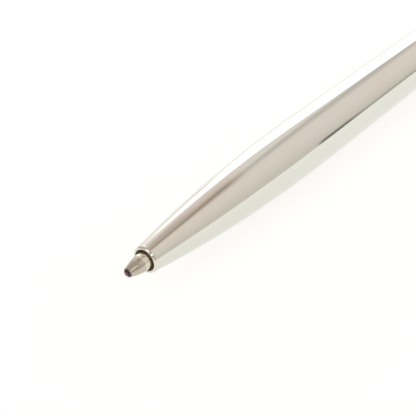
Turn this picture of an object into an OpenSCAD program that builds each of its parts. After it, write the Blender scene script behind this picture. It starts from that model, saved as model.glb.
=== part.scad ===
// Slim twist-action rollerball pen, lying on its barrel and its pocket clip.
//
// Every piece is drawn about the pen's own axis, local Z, which starts at the
// nose opening and runs back to the crown, with the clip on local +X. lay()
// then puts the whole pen down along +X, with the surface at Z = 0.
// The point is drawn extended. Millimetres and degrees.

/* [Barrel] */
// Outside diameter of both barrels
barrel_d = 8.45; // [8:0.05:9.4]
// Nose opening to the rear end of the lower barrel
lower_len = 82; // [76:1:92]
// Length of the upper barrel
upper_len = 44.5; // [44:0.5:56]
// Wall of both barrel tubes
barrel_wall = 0.38; // [0.3:0.02:0.42]

/* [Nose] */
// Length of the curved taper
nose_len = 41; // [32:1:44]
// Diameter that the curve would reach at the opening
nose_d = 3.56; // [3.5:0.02:4]
// How full the curve is
nose_power = 2.4; // [1.9:0.05:2.6]
// Opening that the point comes out of
nose_bore_d = 2.92; // [2.8:0.02:3]
// How far back the rounding of the nose ring's front edge reaches
nose_round = 0.45; // [0.2:0.01:0.48]

/* [Refill] */
// How far the point stands out of the nose
point_out = 3.35; // [2.4:0.05:3.6]
// Diameter of the refill's narrow neck
neck_d = 2.3; // [2.1:0.05:2.4]
// Nose opening to the refill's shoulder
neck_end = 15.5; // [14:0.5:20]
// Diameter of the refill's body
refill_d = 5.4; // [4.8:0.1:5.5]
// Wall of the refill's tube
refill_wall = 0.2; // [0.15:0.01:0.25]
// Diameter of the writing ball
ball_d = 1; // [0.7:0.05:1.1]

/* [Mechanism] */
// Travel of the refill
travel = 4.6; // [4:0.1:5.4]
// Turn of the upper barrel that gives this travel
turn = 180; // [120:10:180]
// Diameter of the drive pin
pin_d = 1.2; // [1:0.05:1.4]
// Wall of the cam sleeve
cam_wall = 0.56; // [0.45:0.01:0.6]

/* [Clip] */
// Length of the clip's arm
clip_len = 38; // [30:1:40]
// Thickness of the clip's arm
clip_t = 0.7; // [0.5:0.05:0.9]
// Free space between the arm and the barrel
clip_gap = 1.3; // [1:0.05:1.6]
// Width of the arm at its root
clip_root_w = 3.4; // [2.8:0.1:4]
// Width of the arm at its free end
clip_tip_w = 2.6; // [2:0.1:2.8]
// Diameter of the hinge pin
hinge_d = 0.7; // [0.6:0.05:0.8]

/* [Crown] */
// Height of the crown
crown_h = 5.4; // [4:0.1:7]
// Diameter of the crown's flat end
crown_flat_d = 4.4; // [3:0.1:5]

/* [Hidden] */
$fn = 96;

// Clearances
run_gap = 0.06;      // between round faces that turn or slide in each other
side_gap = 0.1;      // between end faces that turn past each other
thread_gap = 0.04;   // between a male and a female thread's crests
fluid_gap = 0.02;    // between a fluid and the wall that holds it
eps = 0.01;          // how far a cut runs past the face that it opens

// Barrel and nose
barrel_r = barrel_d / 2;
tube_r = barrel_r - barrel_wall;
nose_r = nose_d / 2;
nose_bore_r = nose_bore_d / 2;
ring_lip = 0.5;                         // thickness of the nose ring's visible lip
ring_wall = 0.2;                        // wall of its spigot
ring_depth = 2;                         // depth of its wide mouth
ring_len = 5.2;                         // its whole length
ring_spigot_r = nose_bore_r + ring_wall;
nose_steps = 48;

// Refill
neck_r = neck_d / 2;
refill_r = refill_d / 2;
refill_bore_r = refill_r - refill_wall;
neck_wall = 0.3;
neck_bore_r = neck_r - neck_wall;
shoulder_len = 3;                       // cone between the neck and the body
ball_r = ball_d / 2;
ball_play = 0.012;                      // between the ball and its seat
ball_out = 0.6 * ball_r;                // how much of the ball is in front of the lip
ball_z = ball_r - point_out;
lip_z = ball_out - point_out;
lip_r = 1.16 * ball_r;
cone_len = 2.08;                        // the socket's curved cone
cone_power = 1.4;                       // how full it is
cone_steps = 12;
spring_gap = 0.5;                       // from the ball to its spring's first turn
cone_end = lip_z + cone_len;
seam = 0.05;                            // groove between the socket and the neck
socket_end = 4;                         // rear end of the socket's spigot
ink_hole_r = 0.3 * ball_d;
plug_lip = 1.6;                         // the plug's collar behind the tube
plug_depth = 4;                         // its length inside the tube
plug_stud_len = 6.5;
plug_stud_r = 1.62;
plug_vent_r = 0.35;
ink_space = 18;                         // from the follower's front to the tube's rear end
follower_len = 6;
thread_pitch = 0.8;
thread_depth = 0.12;
thread_end = 0.3;                       // plain length at each end of a thread

// Joint between the barrels. The guide tube's collar screws into the bush.
bush_wall = 0.34;
bush_len = 9;
bush_r = tube_r - bush_wall;
collar_r = bush_r - thread_gap;
collar_len = 8.4;
refill_way_gap = 0.12;
refill_way_r = refill_r + refill_way_gap; // bore that lets the refill's body through
joint_ring_len = 1.4;
ring_step = 0.2;                        // how far the ring is below the barrels' surface
upper_start = lower_len + joint_ring_len + side_gap;
flange_len = 0.9;
flange_start = lower_len + joint_ring_len;

// Mechanism, from the flange back
washer_len = 0.25;
washer_gap = 0.05;                      // on each side of a thrust washer
cam_r = tube_r;
cam_bore_r = cam_r - cam_wall;
guide_r = cam_bore_r - run_gap;
guide_wall = 0.56;
guide_bore_r = guide_r - guide_wall;
carrier_r = guide_bore_r - run_gap;
refill_end = lower_len + 2;             // rear end of the refill's tube
ink_end = refill_end - ink_space;       // where the ink ends and the follower starts
carrier_start = refill_end + plug_lip + side_gap;
carrier_socket = plug_stud_len + 1;     // depth of the carrier's thread
carrier_body = 10;                      // its length behind the thread
carrier_len = carrier_socket + carrier_body;
pin_place = 4;                          // from the thread's end to the pin
pin_z = carrier_start + carrier_socket + pin_place;
pin_r = pin_d / 2;
pin_inset = 0.12;                       // the pin's ends below the cam sleeve's surface
pin_half = cam_r - pin_inset;
slot_gap = 0.08;                        // between the pin and the sides of its slots
slot_r = pin_r + slot_gap;
end_room = 0.6;                         // left in front of the plug at full travel
wide_bore_end = refill_end + plug_lip + travel + end_room;
cam_start = flange_start + flange_len + washer_len + washer_gap;
cam_tail = 2;                           // the sleeve's length behind the carrier at full travel
cam_end = carrier_start + carrier_len + travel + cam_tail;
cam_steps = 18;
drag_wire = 0.4;                        // the drag ring's section
drag_gap = 0.015;                       // between it and the walls that it is drawn against
drag_out = cam_bore_r - drag_gap;
drag_place = 2.4;                       // from the sleeve's end to the drag ring
drag_z = cam_end - drag_place;
snap_start = cam_end + washer_len + 2 * washer_gap;
snap_len = 0.5;
snap_out_r = tube_r - 0.3;
snap_depth = 0.28;                      // depth of the retaining ring's groove
snap_gap = 0.03;                        // on each side of it
guide_end = snap_start + snap_len + 1;

// Top of the pen
upper_end = upper_start + upper_len;
plug_len = 6.5;                         // length of the top plug
plug_bore_r = 1.3;
collar_t = 0.8;                         // thickness of the clip's collar
crown_gap_len = 0.3;                    // thickness of the washer under the crown
crown_start = upper_end + collar_t + crown_gap_len;
crown_end = crown_start + crown_h;
stud_r = plug_bore_r - thread_gap;

// Clip: hinge, then the distance of the arm's centreline from the pen's axis
hinge_r = hinge_d / 2;
knuckle_r = hinge_r + 0.4;
knuckle_w = 0.45;
ear_t = 0.45;
ear_r = knuckle_r;
knuckle_half = clip_root_w / 2 - ear_t - side_gap;
hinge_room = 0.25;                      // between the knuckles and the barrel
hinge_x = barrel_r + knuckle_r + hinge_room;
hinge_z = upper_end + collar_t / 2;
arm_x = barrel_r + clip_gap + clip_t / 2;
touch_gap = 0.15;                       // left between the arm's bend and the barrel
touch_x = barrel_r + touch_gap + clip_t / 2;
flare = 0.5;                            // how far the arm's free end turns out again
flare_x = touch_x + flare;
arm_steps = 40;
bend_end = 0.14;                        // share of the arm's length where its first bend ends
dip_start = 0.62;                       // share where it starts to come in to the barrel
flare_start = 0.9;                      // share where it starts to turn out

// How the pen lies: rolled until the arm's lower edge touches the surface
arm_out = arm_x + clip_t / 2;
arm_half_w = arm_half(bend_end);
clip_dip = asin(barrel_r / norm([arm_out, arm_half_w])) - atan(arm_half_w / arm_out);
x_mid = (crown_end - point_out) / 2;
y_mid = (barrel_r - arm_out * cos(clip_dip) - arm_half_w * sin(clip_dip)) / 2;

function smooth(t) = t <= 0 ? 0 : t >= 1 ? 1 : t * t * (3 - 2 * t);

// Outside radius of the lower barrel at z
function nose_curve(z) =
    z >= nose_len ? barrel_r : barrel_r - (barrel_r - nose_r) * pow(1 - z / nose_len, nose_power);

// Points of a quarter round about c, from angle a0 to a1
function arc(c, r, a0, a1, n) =
    [for (i = [0:n]) let (a = a0 + (a1 - a0) * i / n) c + r * [cos(a), sin(a)]];

// Zigzag of a thread's ridges along z0 to z1, between radii ra and rb
function ridges(ra, rb, z0, z1) =
    let (n = floor((z1 - z0) / thread_pitch))
    [for (i = [0:n - 1]) each [
        [ra, z0 + i * thread_pitch],
        [rb, z0 + (i + 0.5) * thread_pitch]
    ]];

// Distance of the clip arm's centreline from the axis, at a share t of its length
function arm_centre(t) =
    hinge_x + (arm_x - hinge_x) * smooth(t / bend_end)
    + (touch_x - arm_x) * smooth((t - dip_start) / (flare_start - dip_start))
    + (flare_x - touch_x) * smooth((t - flare_start) / (1 - flare_start));

// Half the arm's width there. It tapers evenly from its root to its rounded end.
function arm_half(t) =
    (clip_root_w - (clip_root_w - clip_tip_w)
        * (clip_len * t - knuckle_r) / (clip_len - knuckle_r - clip_tip_w / 2)) / 2;

module lay() {
    translate([-x_mid, -y_mid, barrel_r])
        rotate([clip_dip - 90, 0, 0])
            rotate([0, 90, 0])
                children();
}

module tube(r_out, r_in, z0, z1) {
    translate([0, 0, z0])
        difference() {
            cylinder(h = z1 - z0, r = r_out);
            translate([0, 0, -eps]) cylinder(h = z1 - z0 + 2 * eps, r = r_in);
        }
}

module rod(r, z0, z1) {
    translate([0, 0, z0]) cylinder(h = z1 - z0, r = r);
}

// Closed ring of a round wire, its centre on radius r
module wire_ring(r, wire_r, z) {
    translate([0, 0, z]) rotate_extrude() translate([r, 0]) circle(r = wire_r, $fn = 24);
}

// Coil of round wire about the axis, its wire's centre on radius r
module coil(r, wire_r, z0, z1, turns) {
    per_turn = 12;
    sides = 6;
    rings = turns * per_turn;
    function centre(i) = let (a = 360 * i / per_turn) [r * cos(a), r * sin(a), z0 + (z1 - z0) * i / rings];
    points = [for (i = [0:rings]) let (a = 360 * i / per_turn) for (k = [0:sides - 1])
        let (b = 360 * k / sides)
        centre(i) + wire_r * [cos(b) * cos(a), cos(b) * sin(a), sin(b)]];
    walls = [for (i = [0:rings - 1]) for (k = [0:sides - 1])
        let (p = i * sides, q = p + sides, m = (k + 1) % sides)
        each [[p + k, q + k, q + m], [p + k, q + m, p + m]]];
    ends = [[for (k = [0:sides - 1]) k], [for (k = [sides - 1:-1:0]) rings * sides + k]];
    polyhedron(points, concat(walls, ends), convexity = 10);
}

// ---- Lower barrel ----

module lower_barrel() {
    step = (nose_len - ring_lip) / nose_steps;
    outside = [for (i = [0:nose_steps]) let (z = ring_lip + i * step) [nose_curve(z), z]];
    inside = [for (i = [nose_steps:-1:0]) let (z = ring_lip + i * step)
        [max(ring_spigot_r, nose_curve(z) - barrel_wall), z]];
    color("silver")
        rotate_extrude()
            polygon(concat(outside, [[barrel_r, lower_len], [tube_r, lower_len]], inside));
}

module nose_ring() {
    lip_out = nose_curve(ring_lip);
    inner_round = 0.1;
    funnel = 0.4;
    lead_in = 0.5;
    edge = 0.1;
    land_r = neck_r + run_gap;
    round_r = lip_out - nose_bore_r - inner_round;
    steps = 12;
    front = [for (i = [0:steps - 1]) let (a = 90 * i / steps)
        [lip_out - round_r * (1 - cos(a)), nose_round * (1 - sin(a))]];
    mouth = arc([nose_bore_r + inner_round, inner_round], inner_round, -90, -180, 6);
    color("silver")
        rotate_extrude()
            polygon(concat(
                [[ring_spigot_r, ring_lip], [lip_out, ring_lip]], front, mouth,
                [[nose_bore_r, ring_depth], [land_r, ring_depth + funnel], [land_r, ring_len - lead_in],
                 [ring_spigot_r - edge, ring_len], [ring_spigot_r, ring_len - edge]]));
}

module thread_bush() {
    recess = 0.3;
    z0 = lower_len - bush_len;
    z1 = lower_len - recess;
    color("goldenrod")
        rotate_extrude()
            polygon(concat(
                [[tube_r, z1], [tube_r, z0], [bush_r + thread_depth, z0]],
                ridges(bush_r, bush_r + thread_depth, z0 + thread_end, z1 - thread_end),
                [[bush_r, z1]]));
}

// ---- Stationary half of the mechanism ----

module guide_tube() {
    lead_in = 0.15;
    collar_start = lower_len - collar_len;
    drag_half = 0.7 * drag_wire;
    snap_end = snap_start + snap_len;
    color("goldenrod")
        difference() {
            union() {
                rotate_extrude()
                    polygon(concat(
                        [[refill_way_r, collar_start], [collar_r - lead_in, collar_start]],
                        ridges(collar_r, collar_r - thread_depth, collar_start + thread_end, lower_len - 1),
                        [[collar_r, lower_len], [collar_r, flange_start],
                         [refill_way_r, flange_start]]));
                tube(tube_r - run_gap, refill_way_r, flange_start, flange_start + flange_len);
                tube(guide_r, guide_bore_r, flange_start + flange_len, guide_end);
            }
            rod(refill_way_r, flange_start - 1, wide_bore_end);
            for (side = [0, 180])
                rotate([0, 0, side])
                    translate([0, 0, pin_z]) {
                        rotate([-90, 0, 0]) cylinder(h = 2 * guide_r, r = slot_r, $fn = 32);
                        translate([0, 0, travel]) rotate([-90, 0, 0])
                            cylinder(h = 2 * guide_r, r = slot_r, $fn = 32);
                        translate([-slot_r, 0, 0]) cube([2 * slot_r, 2 * guide_r, travel]);
                    }
            tube(cam_r, guide_r - snap_depth, snap_start - snap_gap, snap_end + snap_gap);
            tube(cam_r, drag_out - drag_wire - drag_gap, drag_z - drag_half, drag_z + drag_half);
        }
}

// It stands a little below both barrels, and is rounded across its width
module centre_ring() {
    ring_r = barrel_r - ring_step;
    shoulder = 0.08;
    land = 0.6;
    z_mid = (lower_len + flange_start) / 2;
    color("silver")
        rotate_extrude()
            polygon([
                [collar_r, lower_len], [ring_r - shoulder, lower_len], [ring_r, z_mid - land / 2],
                [ring_r, z_mid + land / 2], [ring_r - shoulder, flange_start], [collar_r, flange_start]
            ]);
}

module thrust_washer(z0) {
    color("ivory") tube(cam_r - run_gap, guide_r + run_gap / 2, z0, z0 + washer_len);
}

module front_thrust_washer() {
    thrust_washer(flange_start + flange_len);
}

module rear_thrust_washer() {
    thrust_washer(cam_end + washer_gap);
}

module retaining_ring() {
    mouth_w = 2.4;
    color("dimgray")
        difference() {
            tube(snap_out_r, guide_r - snap_depth, snap_start, snap_start + snap_len);
            translate([0, -mouth_w / 2, snap_start - eps])
                cube([barrel_r, mouth_w, snap_len + 2 * eps]);
        }
}

module drag_ring() {
    ring_r = drag_wire / 2;
    color("black") wire_ring(drag_out - ring_r, ring_r, drag_z);
}

// ---- Upper barrel ----

module upper_barrel() {
    edge = 0.08;
    color("silver")
        difference() {
            tube(barrel_r, tube_r, upper_start, upper_end);
            for (end = [upper_start, upper_end])
                tube(barrel_r + 1, barrel_r - edge, end - edge, end + edge);
        }
}

// Each slot is a row of short cuts that follow the pin round and back.
module cam_sleeve() {
    step = turn / cam_steps;
    mean_r = (cam_r + cam_bore_r) / 2;
    rise = travel / cam_steps;
    run = 2 * mean_r * sin(step / 2);
    overlap = 0.12;
    cut_len = norm([run, rise]) + overlap;
    color("goldenrod")
        difference() {
            tube(cam_r, cam_bore_r, cam_start, cam_end);
            for (side = [0, 180])
                rotate([0, 0, side]) {
                    for (end = [0, 1])
                        rotate([0, 0, turn * end]) translate([0, 0, pin_z + travel * end])
                            rotate([-90, 0, 0]) cylinder(h = 2 * cam_r, r = slot_r, $fn = 32);
                    for (i = [0:cam_steps - 1])
                        rotate([0, 0, step * (i + 0.5)])
                            translate([0, cam_r, pin_z + rise * (i + 0.5)])
                                rotate([0, atan(rise / run), 0])
                                    cube([cut_len, cam_r, 2 * slot_r], center = true);
                }
        }
}

module top_plug() {
    z0 = upper_end - plug_len;
    color("goldenrod")
        rotate_extrude()
            polygon(concat(
                [[tube_r, upper_end], [tube_r, z0], [plug_bore_r + thread_depth, z0]],
                ridges(plug_bore_r, plug_bore_r + thread_depth, z0 + thread_end, upper_end - thread_end),
                [[plug_bore_r, upper_end]]));
}

// Plate under the crown, with two ears that carry the clip's hinge
module clip_collar() {
    inside = knuckle_half + side_gap;
    color("silver")
        difference() {
            union() {
                rod(barrel_r, upper_end, upper_end + collar_t);
                for (y = [inside, -inside - ear_t]) {
                    translate([0, y, upper_end]) cube([hinge_x, ear_t, collar_t]);
                    translate([hinge_x, y, hinge_z]) rotate([-90, 0, 0]) cylinder(h = ear_t, r = ear_r);
                }
            }
            rod(stud_r + side_gap, upper_end - eps, upper_end + collar_t + eps);
            translate([hinge_x, 0, hinge_z]) rotate([90, 0, 0])
                cylinder(h = 2 * clip_root_w, r = hinge_r, center = true);
        }
}

module clip_pin() {
    half = knuckle_half + side_gap + ear_t;
    color("dimgray")
        translate([hinge_x, 0, hinge_z]) rotate([90, 0, 0])
            cylinder(h = 2 * half, r = hinge_r, center = true);
}

// Closes the clip. It sits round the pin, between the arm's two knuckles.
module clip_spring() {
    wire_r = 0.1;
    half = knuckle_half - knuckle_w - side_gap - wire_r;
    color("dimgray")
        translate([hinge_x, 0, hinge_z]) rotate([90, 0, 0])
            coil(hinge_r + run_gap + wire_r, wire_r, -half, half, 3);
}

module crown_washer() {
    split_w = 0.4;
    inset = 0.9;
    z0 = upper_end + collar_t;
    color("dimgray")
        difference() {
            tube(barrel_r - inset, stud_r + side_gap, z0, z0 + crown_gap_len);
            translate([0, -split_w / 2, z0 - eps]) cube([barrel_r, split_w, crown_gap_len + 2 * eps]);
        }
}

module crown() {
    band = 1.1;
    groove = 0.22;
    edge = 0.08;
    lead_in = 0.2;
    short = 1;
    steps = 16;
    dome_z = crown_start + band + 2 * groove;
    dome_r = barrel_r - edge;
    flat_r = crown_flat_d / 2;
    dome_h = crown_end - dome_z;
    dome = [for (i = [0:steps]) let (a = 90 * i / steps)
        [flat_r + (dome_r - flat_r) * cos(a), dome_z + dome_h * sin(a)]];
    stud_end = upper_end - plug_len + short;
    color("silver")
        rotate_extrude()
            polygon(concat(
                [[0, stud_end], [stud_r - lead_in, stud_end]],
                ridges(stud_r, stud_r - thread_depth, stud_end + thread_end, upper_end - 2 * thread_end),
                [[stud_r, upper_end], [stud_r, crown_start],
                 [barrel_r - edge, crown_start], [barrel_r, crown_start + edge],
                 [barrel_r, crown_start + band], [barrel_r - groove, crown_start + band + groove]],
                dome, [[0, crown_end]]));
}

// The arm is its side outline, cut to the width that it has seen from above.
// Its root is two knuckles on the hinge pin, with a space for the spring.
module clip_arm() {
    half_t = clip_t / 2;
    tip_r = clip_tip_w / 2;
    tip_z = hinge_z - clip_len + tip_r;
    root_z = hinge_z - knuckle_r;
    space = knuckle_half - knuckle_w;
    function at(i, side) = let (t = i / arm_steps) [arm_centre(t) + side * half_t, hinge_z - clip_len * t];
    outer = [for (i = [0:arm_steps]) at(i, 1)];
    inner = [for (i = [arm_steps:-1:0]) at(i, -1)];
    color("silver")
        difference() {
            union() {
                intersection() {
                    rotate([90, 0, 0]) linear_extrude(height = 2 * clip_root_w, center = true)
                        polygon(concat(outer, inner));
                    union() {
                        rotate([0, 90, 0]) linear_extrude(height = 3 * barrel_r)
                            polygon([[-root_z, -clip_root_w / 2], [-root_z, clip_root_w / 2],
                                     [-tip_z, tip_r], [-tip_z, -tip_r]]);
                        translate([0, 0, tip_z]) rotate([0, 90, 0]) cylinder(h = 3 * barrel_r, r = tip_r);
                        translate([0, -knuckle_half, root_z - 1])
                            cube([3 * barrel_r, 2 * knuckle_half, knuckle_r + 1]);
                    }
                }
                translate([hinge_x, 0, hinge_z]) rotate([90, 0, 0])
                    cylinder(h = 2 * knuckle_half, r = knuckle_r, center = true);
            }
            translate([hinge_x, 0, hinge_z]) rotate([90, 0, 0])
                cylinder(h = 2 * clip_root_w, r = hinge_r + run_gap / 2, center = true);
            translate([0, -space, hinge_z - knuckle_r - side_gap])
                cube([3 * barrel_r, 2 * space, 3 * knuckle_r]);
        }
}

// ---- Refill and its carrier ----

module carrier() {
    drill_point = 0.6;
    rear_depth = 3;
    rear_wall = 0.6;
    bore_r = plug_stud_r + thread_gap;
    socket_z = carrier_start + carrier_socket;
    rear_z = carrier_start + carrier_len;
    color("goldenrod")
        difference() {
            rod(carrier_r, carrier_start, rear_z);
            rotate_extrude()
                polygon(concat(
                    [[0, carrier_start - eps], [bore_r + thread_depth, carrier_start - eps]],
                    ridges(bore_r, bore_r + thread_depth, carrier_start + thread_end, socket_z),
                    [[bore_r, socket_z], [0, socket_z + drill_point]]));
            translate([0, 0, pin_z]) rotate([90, 0, 0])
                cylinder(h = 3 * carrier_r, r = pin_r, center = true, $fn = 32);
            rod(carrier_r - rear_wall, rear_z - rear_depth, rear_z + eps);
        }
}

module drive_pin() {
    color("dimgray")
        translate([0, 0, pin_z]) rotate([90, 0, 0])
            cylinder(h = 2 * pin_half, r = pin_r, center = true, $fn = 32);
}

module refill_tube() {
    body_start = neck_end + shoulder_len;
    color("gainsboro")
        rotate_extrude()
            polygon([
                [neck_bore_r, cone_end], [neck_r, cone_end], [neck_r, neck_end], [refill_r, body_start],
                [refill_r, refill_end], [refill_bore_r, refill_end], [refill_bore_r, body_start],
                [neck_bore_r, neck_end]
            ]);
}

module point_socket() {
    spigot_r = neck_bore_r;
    spigot_wall = 0.25;
    base_r = neck_r - seam;
    spring_z = ball_z + ball_r + spring_gap;
    cone = [for (i = [0:cone_steps]) let (t = i / cone_steps)
        [base_r - (base_r - lip_r) * pow(1 - t, cone_power), lip_z + (cone_len - seam) * t]];
    color("rosybrown")
        difference() {
            rotate_extrude()
                polygon(concat(
                    [[0, lip_z]], cone,
                    [[base_r, cone_end], [spigot_r, cone_end], [spigot_r, socket_end], [0, socket_end]]));
            translate([0, 0, ball_z]) sphere(r = ball_r + ball_play);
            rod(ink_hole_r, ball_z, spring_z + eps);
            rod(spigot_r - spigot_wall, spring_z, socket_end + eps);
        }
}

// Presses the ball against the lip, so that ink doesn't leak at rest
module ball_spring() {
    wire_r = 0.06;
    z0 = ball_z + ball_r + spring_gap + wire_r;
    color("dimgray") coil(ink_hole_r + 2 * wire_r, wire_r, z0, socket_end - side_gap - wire_r, 6);
}

module writing_ball() {
    color("slategray") translate([0, 0, ball_z]) sphere(r = ball_r);
}

module refill_plug() {
    stud_start = refill_end + plug_lip;
    stud_end = stud_start + plug_stud_len;
    front_z = refill_end - plug_depth;
    color("firebrick")
        rotate_extrude()
            polygon(concat(
                [[plug_vent_r, front_z], [refill_bore_r, front_z],
                 [refill_bore_r, refill_end], [refill_r, refill_end], [refill_r, stud_start],
                 [plug_stud_r - thread_depth, stud_start]],
                ridges(plug_stud_r, plug_stud_r - thread_depth,
                       stud_start + thread_end, stud_end - thread_end),
                [[plug_stud_r - thread_end, stud_end], [plug_vent_r, stud_end]]));
}

module ink_column() {
    body_start = neck_end + shoulder_len;
    color("midnightblue")
        rotate_extrude()
            polygon([
                [0, socket_end + fluid_gap], [neck_bore_r - fluid_gap, socket_end + fluid_gap],
                [neck_bore_r - fluid_gap, neck_end], [refill_bore_r - fluid_gap, body_start],
                [refill_bore_r - fluid_gap, ink_end], [0, ink_end]
            ]);
}

module ink_follower() {
    color("lightgoldenrodyellow")
        rod(refill_bore_r - fluid_gap, ink_end + fluid_gap, ink_end + follower_len);
}

lay() lower_barrel();
lay() nose_ring();
lay() thread_bush();
lay() guide_tube();
lay() centre_ring();
lay() front_thrust_washer();
lay() rear_thrust_washer();
lay() retaining_ring();
lay() drag_ring();
lay() upper_barrel();
lay() cam_sleeve();
lay() top_plug();
lay() crown_washer();
lay() crown();
lay() clip_collar();
lay() clip_pin();
lay() clip_spring();
lay() clip_arm();
lay() carrier();
lay() drive_pin();
lay() refill_tube();
lay() point_socket();
lay() ball_spring();
lay() writing_ball();
lay() refill_plug();
lay() ink_column();
lay() ink_follower();
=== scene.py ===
"""A slim twist-action rollerball pen in polished silver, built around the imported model.

The turned and drawn pieces that show are made again as fine, smooth lathe work
from the same formulas as the CAD, because a mirror finish shows every facet.
Lengths are millimetres, and MM turns them into metres. A lathe profile is a list of
(distance behind the nose opening, radius), and its corners can carry a rounding.
"""

import math

import bmesh
import bpy
from mathutils import Matrix, Vector


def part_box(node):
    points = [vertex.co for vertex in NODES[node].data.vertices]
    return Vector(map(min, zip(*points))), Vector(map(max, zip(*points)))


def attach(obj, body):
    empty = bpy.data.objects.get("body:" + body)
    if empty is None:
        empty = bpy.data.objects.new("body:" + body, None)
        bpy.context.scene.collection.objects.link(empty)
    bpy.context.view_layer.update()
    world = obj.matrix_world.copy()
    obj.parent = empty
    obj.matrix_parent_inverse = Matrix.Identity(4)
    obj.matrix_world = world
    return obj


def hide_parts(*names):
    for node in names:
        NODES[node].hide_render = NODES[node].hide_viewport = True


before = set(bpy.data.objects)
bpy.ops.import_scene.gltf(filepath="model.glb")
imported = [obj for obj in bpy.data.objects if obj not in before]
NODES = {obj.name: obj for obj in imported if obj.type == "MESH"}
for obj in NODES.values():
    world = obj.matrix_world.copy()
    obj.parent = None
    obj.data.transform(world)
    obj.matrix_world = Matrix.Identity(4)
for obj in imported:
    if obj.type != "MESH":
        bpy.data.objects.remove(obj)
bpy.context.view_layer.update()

MM = 0.001

# ---------------------------------------------------------------------------
# Where the pen is, read from the frame


def middle(node, axis):
    low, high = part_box(node)
    return (low[axis] + high[axis]) / 2


def reach(node, axis=0):
    low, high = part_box(node)
    return low[axis], high[axis]


AXIS_Y = middle("upper_barrel", 1)
AXIS_Z = middle("upper_barrel", 2)
NOSE_X = reach("nose_ring")[0]
BARREL_R = (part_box("upper_barrel")[1][2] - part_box("upper_barrel")[0][2]) / 2 / MM


def along(x):
    """Distance behind the nose opening, in mm, of a place on the row frame's X."""
    return (x - NOSE_X) / MM


def span(node):
    low, high = reach(node)
    return along(low), along(high)


# ---------------------------------------------------------------------------
# Materials

SMEARED = 0.035         # how much rougher a polished face is under a smear
FINE_BUMP = 0.01        # depth of the finest texture


def new_material(name):
    material = bpy.data.materials.new(name)
    material.use_nodes = True
    tree = material.node_tree
    return material, tree, tree.nodes["Principled BSDF"]


def node(tree, kind, **values):
    made = tree.nodes.new(kind)
    for key, value in values.items():
        setattr(made, key, value)
    return made


def wire(tree, source, target):
    tree.links.new(source, target)


def coordinates(tree, stretch):
    """Object coordinates in mm, squeezed by a factor along each axis."""
    place = node(tree, "ShaderNodeTexCoord")
    mapping = node(tree, "ShaderNodeMapping")
    mapping.inputs["Scale"].default_value = [s / MM for s in stretch]
    wire(tree, place.outputs["Object"], mapping.inputs["Vector"])
    return mapping.outputs["Vector"]


def noise(tree, stretch, scale=1.0, detail=4.0, roughness=0.5):
    made = node(tree, "ShaderNodeTexNoise")
    made.inputs["Scale"].default_value = scale
    made.inputs["Detail"].default_value = detail
    made.inputs["Roughness"].default_value = roughness
    wire(tree, coordinates(tree, stretch), made.inputs["Vector"])
    return made.outputs["Fac"]


def spread(tree, value, low, high, start=0.3, end=0.7):
    """Maps value from start..end to low..high, with its ends held."""
    made = node(tree, "ShaderNodeMapRange", interpolation_type="SMOOTHSTEP")
    made.inputs["From Min"].default_value = start
    made.inputs["From Max"].default_value = end
    made.inputs["To Min"].default_value = low
    made.inputs["To Max"].default_value = high
    wire(tree, value, made.inputs["Value"])
    return made.outputs["Result"]


def tint(tree, factor, first, second):
    made = node(tree, "ShaderNodeMix", data_type="RGBA")
    wire(tree, factor, made.inputs["Factor"])
    made.inputs["A"].default_value = (*first, 1)
    made.inputs["B"].default_value = (*second, 1)
    return made.outputs["Result"]


def bump(tree, shader, height, strength, distance=0.02):
    made = node(tree, "ShaderNodeBump")
    made.inputs["Strength"].default_value = strength
    made.inputs["Distance"].default_value = distance * MM
    wire(tree, height, made.inputs["Height"])
    wire(tree, made.outputs["Normal"], shader.inputs["Normal"])


def polished_metal(name, colour, dull, rough, grain=(0.05, 3.0, 3.0), mark=0.02):
    """Mirror metal: faint smears from handling, fine polishing lines, a trace of tarnish."""
    material, tree, shader = new_material(name)
    shader.inputs["Metallic"].default_value = 1.0
    smear = noise(tree, (0.12, 0.25, 0.25), detail=6.0, roughness=0.62)
    wire(tree, spread(tree, smear, rough, rough + SMEARED, 0.45, 0.75), shader.inputs["Roughness"])
    tarnish = noise(tree, (0.035, 0.08, 0.08), detail=3.0)
    wire(tree, tint(tree, spread(tree, tarnish, 0.0, 1.0), colour, dull), shader.inputs["Base Color"])
    bump(tree, shader, noise(tree, grain, scale=3.0, detail=2.0), mark)
    return material


def turned_metal(name, colour, dull, rough, lines=5.0, mark=0.25):
    """Lathe-turned metal: rings round the axis, uneven sheen."""
    material, tree, shader = new_material(name)
    shader.inputs["Metallic"].default_value = 1.0
    rings = noise(tree, (lines, 0.05, 0.05), detail=3.0, roughness=0.7)
    cloud = noise(tree, (0.5, 0.9, 0.9), detail=4.0)
    wire(tree, spread(tree, rings, rough, rough + 0.14), shader.inputs["Roughness"])
    wire(tree, tint(tree, spread(tree, cloud, 0.0, 1.0), colour, dull), shader.inputs["Base Color"])
    bump(tree, shader, rings, mark, FINE_BUMP)
    return material


def moulded(name, colour, shade, rough, grain=1.5, mark=0.1):
    """Plastic or rubber: fine texture and a little unevenness in colour."""
    material, tree, shader = new_material(name)
    fine = noise(tree, (grain, grain, grain), scale=4.0, detail=3.0)
    wire(tree, spread(tree, fine, rough - 0.06, rough + 0.08), shader.inputs["Roughness"])
    cloud = noise(tree, (0.3, 0.3, 0.3), detail=3.0)
    wire(tree, tint(tree, spread(tree, cloud, 0.0, 1.0), colour, shade), shader.inputs["Base Color"])
    bump(tree, shader, fine, mark, FINE_BUMP)
    return material


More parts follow.
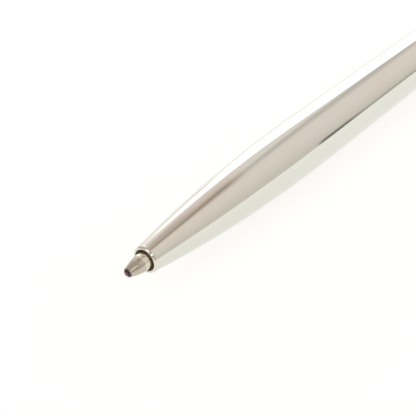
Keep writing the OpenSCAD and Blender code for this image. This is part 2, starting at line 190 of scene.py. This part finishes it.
def inked_metal(name, colour, dull, ink, rough, front, wet):
    """The point's nickel silver, with a film of dried ink behind `front` that fades over `wet` mm."""
    material, tree, shader = new_material(name)
    shader.inputs["Metallic"].default_value = 1.0
    rings = noise(tree, (14.0, 0.1, 0.1), detail=3.0, roughness=0.7)
    cloud = noise(tree, (1.6, 2.4, 2.4), detail=4.0)
    wire(tree, spread(tree, rings, rough, rough + 0.1), shader.inputs["Roughness"])
    place = node(tree, "ShaderNodeTexCoord")
    axes = node(tree, "ShaderNodeSeparateXYZ")
    wire(tree, place.outputs["Object"], axes.inputs["Vector"])
    shift = node(tree, "ShaderNodeMath", operation="MULTIPLY_ADD")
    wire(tree, cloud, shift.inputs[0])
    shift.inputs[1].default_value = -wet * MM
    wire(tree, axes.outputs["X"], shift.inputs[2])
    film = spread(tree, shift.outputs["Value"], 1.0, 0.0, front - wet * MM, front + 0.4 * wet * MM)
    metal = tint(tree, spread(tree, cloud, 0.0, 1.0), colour, dull)
    made = node(tree, "ShaderNodeMix", data_type="RGBA")
    wire(tree, film, made.inputs["Factor"])
    wire(tree, metal, made.inputs["A"])
    made.inputs["B"].default_value = (*ink, 1)
    wire(tree, made.outputs["Result"], shader.inputs["Base Color"])
    bump(tree, shader, rings, 0.05, FINE_BUMP)
    return material


SILVER = (0.735, 0.740, 0.685)
SILVER_WARM = (0.725, 0.720, 0.662)
silver = polished_metal("polished_silver", SILVER, SILVER_WARM, 0.035)
crown_silver = polished_metal("crown_silver", SILVER, SILVER_WARM, 0.04, grain=(3.0, 0.4, 0.4))
clip_silver = polished_metal("clip_silver", SILVER, SILVER_WARM, 0.05, grain=(0.08, 4.0, 4.0), mark=0.03)
brass = turned_metal("brass_mechanism", (0.80, 0.60, 0.29), (0.70, 0.49, 0.22), 0.24)
nickel = turned_metal("refill_nickel", (0.74, 0.71, 0.61), (0.66, 0.62, 0.53), 0.06, lines=9.0, mark=0.02)
steel = turned_metal("spring_steel", (0.56, 0.57, 0.59), (0.46, 0.46, 0.47), 0.28, lines=8.0)
# The nose ring's inside is painted dull dark brown: painted shade for the gap round the point
bore_shade_paint = moulded("bore_painted_shade", (0.42, 0.30, 0.23), (0.33, 0.23, 0.17), 0.6)
acetal = moulded("washer_plastic", (0.86, 0.84, 0.78), (0.80, 0.77, 0.70), 0.42)
rubber = moulded("ring_rubber", (0.035, 0.035, 0.038), (0.05, 0.048, 0.046), 0.62, mark=0.3)
black_nylon = moulded("washer_black", (0.030, 0.030, 0.033), (0.045, 0.045, 0.047), 0.5)
plug_red = moulded("plug_plastic", (0.50, 0.045, 0.035), (0.42, 0.035, 0.03), 0.30)
ink_blue = moulded("ink", (0.012, 0.018, 0.09), (0.018, 0.026, 0.12), 0.12, mark=0.02)
grease = moulded("grease", (0.84, 0.79, 0.58), (0.78, 0.72, 0.50), 0.25, mark=0.05)
carbide = turned_metal("tungsten_ball", (0.24, 0.14, 0.15), (0.12, 0.07, 0.09), 0.08, lines=20.0, mark=0.05)

# ---------------------------------------------------------------------------
# Lathe work

ON_AXIS = 1e-6          # a radius below this is a point on the axis


def rounded(corners, steps=8):
    """Profile with arcs at its corners. A corner is (z, r) or (z, r, rounding)."""
    profile = []
    last = len(corners) - 1
    for i, corner in enumerate(corners):
        here = Vector(corner[:2])
        size = corner[2] if len(corner) > 2 else 0
        if not size or i in (0, last):
            profile.append(tuple(here))
            continue
        before = (Vector(corners[i - 1][:2]) - here).normalized()
        after = (Vector(corners[i + 1][:2]) - here).normalized()
        half = before.angle(after) / 2
        run = size / math.tan(half)
        centre = here + (before + after).normalized() * size / math.sin(half)
        start = here + before * run - centre
        end = here + after * run - centre
        turn = start.angle_signed(end)
        for k in range(steps + 1):
            angle = -turn * k / steps
            cos, sin = math.cos(angle), math.sin(angle)
            spoke = Vector((start.x * cos - start.y * sin, start.x * sin + start.y * cos))
            profile.append(tuple(centre + spoke))
    return profile


def revolve(profile, place, closed=False, segments=256):
    """Points and faces of a profile turned about an axis.

    place puts (along, across, up) of that axis in the frame.
    """
    points, rows, faces = [], [], []
    for z, r in profile:
        if r < ON_AXIS:
            rows.append([len(points)] * segments)
            points.append(place(z, 0, 0))
            continue
        rows.append(list(range(len(points), len(points) + segments)))
        for k in range(segments):
            a = 2 * math.pi * k / segments
            points.append(place(z, r * math.cos(a), r * math.sin(a)))
    pairs = list(zip(rows, rows[1:])) + ([(rows[-1], rows[0])] if closed else [])
    for first, second in pairs:
        for k in range(segments):
            m = (k + 1) % segments
            ring = [first[k], second[k], second[m], first[m]]
            face = [v for i, v in enumerate(ring) if v != ring[i - 1]]
            if len(set(face)) > 2:
                faces.append(face)
    return points, faces


def loft(sections):
    """Points and faces of a skin over closed sections of equal length, with both ends closed."""
    size = len(sections[0])
    points = [p for section in sections for p in section]
    faces = [list(range(size)), list(range(len(points) - size, len(points)))]
    for i in range(len(sections) - 1):
        for k in range(size):
            m = (k + 1) % size
            faces.append([i * size + k, i * size + m, (i + 1) * size + m, (i + 1) * size + k])
    return points, faces


def joined(*shapes):
    points, faces = [], []
    for more_points, more_faces in shapes:
        faces += [[v + len(points) for v in face] for face in more_faces]
        points += more_points
    return points, faces


def solid(name, points, faces, sharp=40):
    mesh = bpy.data.meshes.new(name)
    mesh.from_pydata(points, [], faces)
    mesh.validate()
    skin = bmesh.new()
    skin.from_mesh(mesh)
    bmesh.ops.recalc_face_normals(skin, faces=skin.faces)
    skin.to_mesh(mesh)
    skin.free()
    mesh.shade_smooth()
    mesh.set_sharp_from_angle(angle=math.radians(sharp))
    made = bpy.data.objects.new(name, mesh)
    bpy.context.scene.collection.objects.link(made)
    return made


def on_axis(z, across, up):
    return NOSE_X + z * MM, AXIS_Y + across * MM, AXIS_Z + up * MM


def lathe(name, profile, closed=False, segments=256, sharp=40):
    """A turned piece about the pen's axis. closed joins the profile's end to its start, as for a tube."""
    return solid(name, *revolve(profile, on_axis, closed, segments), sharp)


def fit(made, body, slot, stands_for, *materials):
    for material in materials:
        made.data.materials.append(material)
    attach(made, body)
    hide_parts(stands_for)
    return made


def paint(made, test, index):
    """Gives another of the piece's materials to the faces whose centre passes a test.

    The test is given (distance behind the nose opening, radius).
    """
    for face in made.data.polygons:
        c = face.center
        if test(along(c.x), math.hypot(c.y - AXIS_Y, c.z - AXIS_Z) / MM):
            face.material_index = index


def shares(steps, first=0):
    """Even steps up to 1."""
    return [i / steps for i in range(first, steps + 1)]


def quarter(steps, first=0):
    """Even steps through a quarter turn."""
    return [math.pi / 2 * i / steps for i in range(first, steps + 1)]


# ---------------------------------------------------------------------------
# Barrels and rings

NOSE_LEN = 41.0
NOSE_R = 1.78           # radius that the nose's curve would reach at the opening
NOSE_POWER = 2.4        # how full the curve is
NOSE_STEPS = 120
WALL = 0.38             # of both barrels
TUBE_R = BARREL_R - WALL
LOWER_BEVEL = 0.06
UPPER_ROUND = 0.08
LOWER_END = span("lower_barrel")[1]
UPPER_START, UPPER_END = span("upper_barrel")

NECK_R = 1.15           # of the refill's narrow neck
NOSE_BORE_R = 1.46
NOSE_ROUND = 0.45       # how far back the rounding of the lip's front edge reaches
INNER_ROUND = 0.1       # rounding of the opening's inner edge
RING_LIP = 0.5          # thickness of the nose ring's visible lip
SPIGOT_R = NOSE_BORE_R + 0.2
MOUTH_DEPTH = 2.0       # of the nose ring's wide part
FUNNEL = 0.4            # from the wide part to the bore that guides the neck
GUIDE_R = NECK_R + 0.06
RING_LEN = 5.2
LEAD_IN = 0.5
SPIGOT_BEVEL = 0.1
SHADE_PAINT_START = 0.12      # where the inside painted dark as shade begins
# Radius within which the nose ring's inside gets the painted shade
SHADE_PAINT_R = NOSE_BORE_R + 0.01


def nose_curve(z):
    """Outside radius of the lower barrel."""
    if z >= NOSE_LEN:
        return BARREL_R
    return BARREL_R - (BARREL_R - NOSE_R) * (1 - z / NOSE_LEN) ** NOSE_POWER


outside = [(z, nose_curve(z)) for z in [RING_LIP + (NOSE_LEN - RING_LIP) * t for t in shares(NOSE_STEPS)]]
inside = [(z, max(SPIGOT_R, r - WALL)) for z, r in reversed(outside)]
rear = [(LOWER_END - LOWER_BEVEL, BARREL_R), (LOWER_END, BARREL_R - LOWER_BEVEL), (LOWER_END, TUBE_R)]
lower = lathe("lower_barrel_shell", outside + rear + inside, closed=True)
fit(lower, "lower_body", "polished_silver", "lower_barrel", silver)

lip_r = nose_curve(RING_LIP)
lip_face = NOSE_BORE_R + INNER_ROUND
front = [(NOSE_ROUND * (1 - math.sin(a)), lip_r - (lip_r - lip_face) * (1 - math.cos(a)))
         for a in quarter(24)[:-1]]
mouth = [(INNER_ROUND * (1 - math.cos(a)), lip_face - INNER_ROUND * math.sin(a)) for a in quarter(8)]
spigot = [
    (MOUTH_DEPTH, NOSE_BORE_R), (MOUTH_DEPTH + FUNNEL, GUIDE_R), (RING_LEN - LEAD_IN, GUIDE_R),
    (RING_LEN, SPIGOT_R - SPIGOT_BEVEL), (RING_LEN - SPIGOT_BEVEL, SPIGOT_R)]
ring = lathe(
    "nose_ring_turned", [(RING_LIP, SPIGOT_R), (RING_LIP, lip_r)] + front + mouth + spigot, closed=True)
fit(ring, "lower_body", "polished_silver", "nose_ring", silver, bore_shade_paint)
# Faces inside the opening get the dark brown that stands for the shade in the gap round the point
paint(ring, lambda z, r: z > SHADE_PAINT_START and r < SHADE_PAINT_R, 1)

upper = lathe("upper_barrel_shell", rounded([
    (UPPER_START, TUBE_R), (UPPER_START, BARREL_R, UPPER_ROUND),
    (UPPER_END, BARREL_R, UPPER_ROUND), (UPPER_END, TUBE_R)]), closed=True)
fit(upper, "upper_body", "polished_silver", "upper_barrel", silver)

# The ring between the barrels stands a little below both, and is rounded across its width
RING_R = BARREL_R - 0.2
RING_SHOULDER_R = RING_R - 0.08
RING_BORE_R = BARREL_R - 0.72
HALF_LAND = 0.3
LAND_ROUND = 0.8
ring_start, ring_end = span("centre_ring")
ring_mid = (ring_start + ring_end) / 2
middle_ring = lathe("centre_ring_turned", rounded([
    (ring_start, RING_BORE_R), (ring_start, RING_SHOULDER_R),
    (ring_mid - HALF_LAND, RING_R, LAND_ROUND), (ring_mid + HALF_LAND, RING_R, LAND_ROUND),
    (ring_end, RING_SHOULDER_R), (ring_end, RING_BORE_R)]), closed=True)
fit(middle_ring, "lower_body", "polished_silver", "centre_ring", silver)

# ---------------------------------------------------------------------------
# The crown: stud, band, groove and dome

STUD_R = 1.26
STUD_BEVEL = 0.2
STUD_LEAD_IN = 0.3
BAND = 1.1
BAND_FRONT_ROUND = 0.08
BAND_REAR_ROUND = 0.06
GROOVE = 0.22
FLAT_R = 2.2
stud_end, crown_end = span("crown")
crown_start = span("crown_washer")[1]
dome_z = crown_start + BAND + 2 * GROOVE
dome_h = crown_end - dome_z
dome_r = BARREL_R - 0.08
dome = [(dome_z + dome_h * math.sin(a), FLAT_R + (dome_r - FLAT_R) * math.cos(a)) for a in quarter(32)]
crown = lathe("crown_turned", rounded([
    (stud_end, 0), (stud_end, STUD_R - STUD_BEVEL), (stud_end + STUD_LEAD_IN, STUD_R), (crown_start, STUD_R),
    (crown_start, BARREL_R, BAND_FRONT_ROUND), (crown_start + BAND, BARREL_R, BAND_REAR_ROUND),
    (crown_start + BAND + GROOVE, BARREL_R - GROOVE), (dome_z, dome_r)]) + dome[1:] + [(crown_end, 0)])
fit(crown, "upper_body", "crown_silver", "crown", crown_silver)

# ---------------------------------------------------------------------------
# The refill: socket, ball and tube

NECK_BORE_R = 0.85
SEAM = 0.05             # groove between the socket's cone and the neck
CONE_POWER = 1.4        # how full the cone is
LIP_DEPTH = 0.05        # from the lip's front to the start of the cone
LIP_STEP = 0.02         # how much wider the cone starts than the lip
LIP_EDGE_IN = 0.015
SEAT_PLAY = 0.012       # between the ball and its seat
SEAT_FRONT = 42         # degrees from the pen's axis. The lip is at 67, so a thin skirt stands out of it
SEAT_STEP = 4
INK_HOLE_R = 0.3
BALL_STEPS = 64
ball_front, ball_back = span("writing_ball")
ball_r = (ball_back - ball_front) / 2
ball_z = ball_front + ball_r
lip_z, socket_end = span("point_socket")
neck_front, refill_end = span("refill_tube")
base_r = NECK_R - SEAM
tip_r = 1.16 * ball_r
seat_r = ball_r + SEAT_PLAY
mouth_r = math.sqrt(seat_r ** 2 - (ball_z - lip_z) ** 2)
cone_z = lip_z + LIP_DEPTH
cone_len = neck_front - SEAM - cone_z
cone = [(cone_z + cone_len * t, base_r - (base_r - tip_r - LIP_STEP) * (1 - t) ** CONE_POWER)
        for t in shares(40)]
lip = [(lip_z + LIP_EDGE_IN, tip_r - LIP_EDGE_IN), (lip_z, tip_r - LIP_DEPTH), (lip_z, mouth_r)]
seat = [(ball_z - seat_r * math.cos(a), seat_r * math.sin(a))
        for a in [math.radians(degrees) for degrees in range(SEAT_FRONT, 91, SEAT_STEP)]]
ink_way = [(ball_z + 0.3, seat_r - 0.03), (ball_z + 0.5, INK_HOLE_R), (socket_end, INK_HOLE_R)]
socket_back = [
    (socket_end, NECK_BORE_R), (neck_front, NECK_BORE_R), (neck_front, base_r),
    (neck_front - SEAM + 0.001, base_r)]
socket = lathe(
    "point_socket_turned", socket_back + list(reversed(cone)) + lip + seat + ink_way,
    closed=True, segments=160, sharp=50)
point_metal = inked_metal(
    "nickel_point", (0.58, 0.55, 0.47), (0.50, 0.46, 0.39), (0.035, 0.018, 0.030),
    0.07, NOSE_X + lip_z * MM, 0.22)
fit(socket, "refill", "nickel_point", "point_socket", point_metal)

ball = lathe("writing_ball_lapped", [
    (ball_z - ball_r * math.cos(math.pi * t), ball_r * math.sin(math.pi * t)) for t in shares(BALL_STEPS)],
    segments=128)
fit(ball, "ball", "tungsten_ball", "writing_ball", carbide)

REFILL_R = 2.7
REFILL_BORE_R = REFILL_R - 0.2
NECK_END = 15.5
SHOULDER_END = NECK_END + 3.0
NECK_ROUND = 0.03
SHOULDER_ROUND = 0.4
tube = lathe("refill_tube_drawn", rounded([
    (neck_front, NECK_BORE_R), (neck_front, NECK_R, NECK_ROUND), (NECK_END, NECK_R),
    (SHOULDER_END, REFILL_R, SHOULDER_ROUND), (refill_end, REFILL_R), (refill_end, REFILL_BORE_R),
    (SHOULDER_END, REFILL_BORE_R), (NECK_END, NECK_BORE_R)]), closed=True, segments=160)
fit(tube, "refill", "refill_steel", "refill_tube", nickel)

# ---------------------------------------------------------------------------
# The clip. Its places are (out from the pen's axis towards the clip, sideways, behind the nose opening).

PIN_Y, PIN_Z = middle("clip_pin", 1), middle("clip_pin", 2)
DIP = math.atan2(AXIS_Z - PIN_Z, AXIS_Y - PIN_Y)
HINGE_OUT = math.hypot(AXIS_Z - PIN_Z, AXIS_Y - PIN_Y) / MM
HINGE_BACK = along(middle("clip_pin", 0))
HINGE_R = 0.35
HINGE_PLAY = 0.03
KNUCKLE_R = 0.75
KNUCKLE_W = 0.45
KNUCKLE_HALF = 1.15     # from the middle to a knuckle's outer face
KNUCKLE_ROUND = 0.08
EAR_W = 0.45
EAR_INSIDE = 1.25       # from the middle to an ear's inner face
COLLAR_T = 0.8
COLLAR_BORE_R = 1.36
COLLAR_ROUND = 0.1
CLIP_LEN = 38.0
CLIP_T = 0.7
CLIP_GAP = 1.3          # between the arm and the barrel
TOUCH_GAP = 0.15        # the same at the arm's bend
FLARE = 0.5             # how far the arm's end turns out again
BEND_END = 0.14         # shares of the arm's length where each bend starts or ends
DIP_START = 0.62
FLARE_START = 0.9
ROOT_W = 3.4
TIP_W = 2.6
SECTION_STEPS = 5       # in each rounded corner of a strip
DOME_STEPS = 10         # across its outer face


def clip_side(out, side, back):
    across = -out * math.cos(DIP) + side * math.sin(DIP)
    up = -out * math.sin(DIP) - side * math.cos(DIP)
    return on_axis(back, across, up)


def smooth_step(t):
    t = min(max(t, 0), 1)
    return t * t * (3 - 2 * t)


def arm_out(t):
    """Distance of the arm's centreline from the pen's axis, at a share t of its length."""
    straight = BARREL_R + CLIP_GAP + CLIP_T / 2
    touch = BARREL_R + TOUCH_GAP + CLIP_T / 2
    return (HINGE_OUT + (straight - HINGE_OUT) * smooth_step(t / BEND_END)
            + (touch - straight) * smooth_step((t - DIP_START) / (FLARE_START - DIP_START))
            + FLARE * smooth_step((t - FLARE_START) / (1 - FLARE_START)))


def arm_width(t):
    """Full width there: an even taper to a rounded end."""
    run = CLIP_LEN - KNUCKLE_R - TIP_W / 2
    beyond = CLIP_LEN * t - (CLIP_LEN - TIP_W / 2)
    if beyond > 0:
        return 2 * math.sqrt(max((TIP_W / 2) ** 2 - beyond ** 2, 0))
    return ROOT_W - (ROOT_W - TIP_W) * (CLIP_LEN * t - KNUCKLE_R) / run


def strip_section(width, thick, soft=0.14, crowned=0.12):
    """(sideways, out) round a strip's section, with rounded edges and a slightly domed outer face."""
    half_w, half_t = width / 2, thick / 2
    soft = min(soft, 0.45 * width, 0.45 * thick)
    section = []
    for corner in range(4):
        to_side = 1 if corner in (0, 3) else -1
        to_out = 1 if corner in (0, 1) else -1
        for t in shares(SECTION_STEPS):
            a = math.pi / 2 * (corner + t)
            section.append((to_side * (half_w - soft) + soft * math.cos(a),
                            to_out * (half_t - soft) + soft * math.sin(a)))
        if corner == 0:
            section += [((half_w - soft) * (1 - 2 * t), half_t) for t in shares(DOME_STEPS, first=1)[:-1]]
    return [(side, out - crowned * (side / half_w) ** 2 if out > 0 else out) for side, out in section]


def knuckle(start, end, bore):
    """A rounded eye on the hinge's axis, from start to end sideways."""
    def on_hinge(side, out, back):
        return clip_side(HINGE_OUT + out, side, HINGE_BACK + back)
    profile = rounded([
        (start, bore), (start, KNUCKLE_R, KNUCKLE_ROUND),
        (end, KNUCKLE_R, KNUCKLE_ROUND), (end, bore)], steps=5)
    return revolve(profile, on_hinge, closed=True, segments=64)


def arm_section(t, width, trim=0.0, aside=0.0, crowned=0.12):
    return [clip_side(arm_out(t) + out, aside + side, HINGE_BACK - CLIP_LEN * t)
            for side, out in strip_section(width - trim, CLIP_T - trim, crowned=crowned)]


root = KNUCKLE_R / CLIP_LEN
tip = 1 - TIP_W / 2 / CLIP_LEN
THINNEST = 0.04         # width that the rounded end closes at
blade = [arm_section(root + past, ROOT_W, trim) for past, trim in ((0, 0.2), (0.001, 0.06), (0.003, 0))]
blade += [arm_section(t, arm_width(t)) for t in [root + (tip - root) * s for s in shares(64, first=1)]]
blade += [arm_section(t, max(arm_width(t), THINNEST)) for t in
          [tip + (1 - tip) * math.sin(a) for a in quarter(16, first=1)]]
lug = KNUCKLE_HALF - KNUCKLE_W / 2
lug_first, lug_last = 0.45 / CLIP_LEN, root + 0.4 / CLIP_LEN
eyes = []
for side in (-1, 1):
    eyes.append(loft([
        arm_section(lug_first + (lug_last - lug_first) * s, KNUCKLE_W, aside=side * lug, crowned=0.0)
        for s in shares(5)]))
    inner, outer = sorted((side * (KNUCKLE_HALF - KNUCKLE_W), side * KNUCKLE_HALF))
    eyes.append(knuckle(inner, outer, HINGE_R + HINGE_PLAY))
arm = solid("clip_arm_sprung", *joined(loft(blade), *eyes), sharp=50)
fit(arm, "clip", "clip_silver", "clip_arm", clip_silver)

plate = rounded([
    (UPPER_END, COLLAR_BORE_R), (UPPER_END, BARREL_R, COLLAR_ROUND),
    (UPPER_END + COLLAR_T, BARREL_R, COLLAR_ROUND), (UPPER_END + COLLAR_T, COLLAR_BORE_R)])
collar_parts = [revolve(plate, on_axis, closed=True)]
for side in (-1, 1):
    inner, outer = sorted((side * EAR_INSIDE, side * (EAR_INSIDE + EAR_W)))
    collar_parts.append(knuckle(inner, outer, HINGE_R))
    collar_parts.append(loft([[clip_side(out, (inner + outer) / 2 + across, HINGE_BACK + back)
                               for across, back in strip_section(EAR_W, COLLAR_T, 0.06, 0.0)]
                              for out in (BARREL_R - 0.8, HINGE_OUT - 0.45)]))
collar = solid("clip_collar_pressed", *joined(*collar_parts), sharp=50)
fit(collar, "upper_body", "clip_silver", "clip_collar", clip_silver)

# ---------------------------------------------------------------------------
# Pieces shown as the CAD has them

CARRIED = {
    brass: ["thread_bush", "guide_tube", "cam_sleeve", "top_plug", "carrier"],
    acetal: ["front_thrust_washer", "rear_thrust_washer"],
    steel: ["retaining_ring", "clip_pin", "clip_spring", "drive_pin", "ball_spring"],
    rubber: ["drag_ring"],
    black_nylon: ["crown_washer"],
    plug_red: ["refill_plug"],
    ink_blue: ["ink_column"],
    grease: ["ink_follower"],
}
CAD_SHARP = math.radians(28)
for material, names in CARRIED.items():
    for name in names:
        mesh = NODES[name].data
        mesh.materials.clear()
        mesh.materials.append(material)
        mesh.shade_smooth()
        mesh.set_sharp_from_angle(angle=CAD_SHARP)

# ---------------------------------------------------------------------------
# Floor

HALF_FLOOR = 3.0        # metres
floor_mesh = bpy.data.meshes.new("floor")
floor_mesh.from_pydata(
    [(-HALF_FLOOR, -HALF_FLOOR, 0), (HALF_FLOOR, -HALF_FLOOR, 0),
     (HALF_FLOOR, HALF_FLOOR, 0), (-HALF_FLOOR, HALF_FLOOR, 0)], [], [(0, 1, 2, 3)])
floor = bpy.data.objects.new("floor", floor_mesh)
bpy.context.scene.collection.objects.link(floor)
paper, tree, shader = new_material("pale_paper")
shader.inputs["Base Color"].default_value = (0.38, 0.38, 0.375, 1)
shader.inputs["Roughness"].default_value = 0.9
shader.inputs["Specular IOR Level"].default_value = 0.1
shader.inputs["Emission Color"].default_value = (1.0, 1.0, 0.985, 1)
shader.inputs["Emission Strength"].default_value = 0.72
floor_mesh.materials.append(paper)

# ---------------------------------------------------------------------------
# The room: a warm wall over the near side, a narrow dark gap that runs across the top, a pinkish
# strip behind it, then one wide soft light over the far side. Colours are the light's, so above 1 is
# bright. Angles are degrees. Round the pen they count from straight up, positive towards the far side.

WALL_LIGHT = (0.90, 0.82, 0.77)
ROOM = [
    (-92, (0.75, 0.70, 0.64)),
    (-78, (0.75, 0.70, 0.64)),
    (-55, (0.84, 0.77, 0.72)),
    (-30, WALL_LIGHT),
    (10, WALL_LIGHT),
    (60, (1.00, 0.95, 0.89)),
    (92, (1.13, 1.12, 1.08)),
]
DARK_GAP = [
    (-14, WALL_LIGHT),
    (-7, (0.71, 0.62, 0.56)),
    (-2.4, (0.47, 0.40, 0.34)),
    (0, (0.40, 0.34, 0.28)),
    (4, (0.50, 0.43, 0.37)),
    (11, (0.77, 0.64, 0.59)),
    (20, (0.86, 0.75, 0.71)),
    (34, (1.00, 0.92, 0.88)),
]
PALE_GAP = [
    (-9, WALL_LIGHT),
    (-3, (0.73, 0.67, 0.63)),
    (0, (0.64, 0.59, 0.56)),
    (3, (0.67, 0.62, 0.59)),
    (8, (0.90, 0.84, 0.80)),
]
WHITE = (2.1, 2.1, 2.12)
WIDE_GAP = (0.58, 0.50, 0.44)
TABLE_SHADE = (0.52, 0.51, 0.46)
TABLE_DARK = (0.22, 0.23, 0.21)
FRONT_SHADE = (0.62, 0.57, 0.50)
FRONT_DARK = (0.10, 0.09, 0.12)
FRONT_DARK_WAY = (-0.70, -0.58, 0.42)
CAMERA_LINE = -40       # angle round the pen of the thin front light
GAP_PLANE = (-0.371, 0.905, 0.209)
LIGHT_PLANE = (0.287, 0.464, -0.838)

world = bpy.data.worlds.new("studio")
bpy.context.scene.world = world
world.use_nodes = True
tree = world.node_tree
background = tree.nodes["Background"]
place = node(tree, "ShaderNodeTexCoord")
axes = node(tree, "ShaderNodeSeparateXYZ")
wire(tree, place.outputs["Generated"], axes.inputs["Vector"])


def compute(operation, *terms):
    """One step of arithmetic on sockets and numbers."""
    made = node(tree, "ShaderNodeMath", operation=operation)
    for term, socket in zip(terms, made.inputs):
        if isinstance(term, (int, float)):
            socket.default_value = term
        else:
            wire(tree, term, socket)
    return made.outputs["Value"]


def both(first, second):
    return compute("MULTIPLY", first, second)


def rise(value, start, end, top=1):
    return spread(tree, value, 0, top, start, end)


def fall(value, start, end):
    return spread(tree, value, 1, 0, start, end)


def above(plane):
    """Angle above a plane through the pen, in degrees."""
    made = node(tree, "ShaderNodeVectorMath", operation="DOT_PRODUCT")
    wire(tree, place.outputs["Generated"], made.inputs[0])
    made.inputs[1].default_value = Vector(plane).normalized()
    return compute("DEGREES", compute("ARCSINE", made.outputs["Value"]))


def banded(angle, bands):
    """Colour that depends on an angle, from a table of (degrees, colour)."""
    low, high = bands[0][0], bands[-1][0]
    made = node(tree, "ShaderNodeValToRGB")
    wire(tree, compute("DIVIDE", compute("SUBTRACT", angle, low), high - low), made.inputs["Fac"])
    stops = made.color_ramp.elements
    while len(stops) < len(bands):
        stops.new(0.5)
    for stop, (degrees, colour) in zip(stops, bands):
        stop.position = (degrees - low) / (high - low)
        stop.color = (*colour, 1)
    return made.outputs["Color"]


def laid_over(under, over, share):
    """A colour, or a colour's socket, over another, by a share from 0 to 1."""
    made = node(tree, "ShaderNodeMix", data_type="RGBA")
    wire(tree, share, made.inputs["Factor"])
    wire(tree, under, made.inputs["A"])
    if isinstance(over, tuple):
        made.inputs["B"].default_value = (*over, 1)
    else:
        wire(tree, over, made.inputs["B"])
    return made.outputs["Result"]


x, y, z = axes.outputs["X"], axes.outputs["Y"], axes.outputs["Z"]
turned = compute("DEGREES", compute("ARCTAN2", y, z))
past_gap = above(GAP_PLANE)
sky = banded(turned, ROOM)
# The gap is dark towards the nose and paler towards the crown
sky = laid_over(sky, banded(past_gap, DARK_GAP), both(rise(past_gap, -16, -12), fall(x, 0.56, 0.68)))
sky = laid_over(sky, banded(past_gap, PALE_GAP), both(rise(past_gap, -12, -8), rise(x, 0.56, 0.68)))
# It widens on its far side where the nose mirrors it
wide = both(rise(past_gap, 1, 4, top=0.7), fall(past_gap, 18, 34))
sky = laid_over(sky, WIDE_GAP, both(wide, fall(x, 0.44, 0.54)))
# The soft light, with its front end beside the nose
soft = both(rise(above(LIGHT_PLANE), -4, 3), rise(x, 0.41, 0.62))
low_end = compute("MAXIMUM", fall(turned, 72, 80), rise(x, 0.60, 0.70))
sky = laid_over(sky, WHITE, both(soft, low_end))
# Something dark at table height beyond the crown, on the near side, and a strip of shade behind it
at_table = fall(turned, -84, -76)
sky = laid_over(sky, TABLE_SHADE, both(rise(x, 0.735, 0.755), at_table))
sky = laid_over(sky, TABLE_DARK, both(both(rise(x, 0.735, 0.75), fall(x, 0.775, 0.80)), at_table))
# In front: a shade, a thin light in line with the camera, and a wider one above it beside a dark gap
sky = laid_over(sky, FRONT_SHADE, fall(x, 0.12, 0.38))
off_line = compute("ABSOLUTE", compute("SUBTRACT", turned, CAMERA_LINE))
sky = laid_over(sky, WHITE, both(fall(off_line, 2, 5), fall(x, 0.0, 0.2)))
in_front = both(fall(x, -0.48, -0.38), rise(x, -0.84, -0.76))
sky = laid_over(sky, WHITE, both(fall(off_line, 6, 9), in_front))
sky = laid_over(sky, FRONT_DARK, rise(above(FRONT_DARK_WAY), 81, 85))
sky = laid_over(sky, WHITE, both(both(rise(turned, -12, -4), fall(turned, 22, 32)), in_front))
wire(tree, sky, background.inputs["Color"])

bpy.context.scene.view_settings.view_transform = "Standard"

# ---------------------------------------------------------------------------
# The camera looks down at the point from beside and in front of it

ELEVATION = math.radians(34.1)
HEADING = math.radians(37.2)
DEPTH = 108.2 * MM      # from the camera to the ball's front, along the line of sight
ASIDE = -9.67 * MM      # how far the ball's front is to the right of that line
ABOVE = -7.82 * MM      # and how far above it
forward = Vector((
    math.cos(ELEVATION) * math.cos(HEADING), math.cos(ELEVATION) * math.sin(HEADING), -math.sin(ELEVATION)))
right = Vector((math.sin(HEADING), -math.cos(HEADING), 0))
up = right.cross(forward)
target = Vector((NOSE_X + ball_front * MM, AXIS_Y, AXIS_Z))
camera_data = bpy.data.cameras.new("camera")
camera_data.sensor_width = 36
camera_data.lens = 79.6
camera_data.clip_start = 0.005
camera_data.clip_end = 20
camera = bpy.data.objects.new("camera", camera_data)
bpy.context.scene.collection.objects.link(camera)
turn = Matrix((right, up, -forward)).transposed().to_4x4()
camera.matrix_world = Matrix.Translation(target - forward * DEPTH - right * ASIDE - up * ABOVE) @ turn
bpy.context.scene.camera = camera
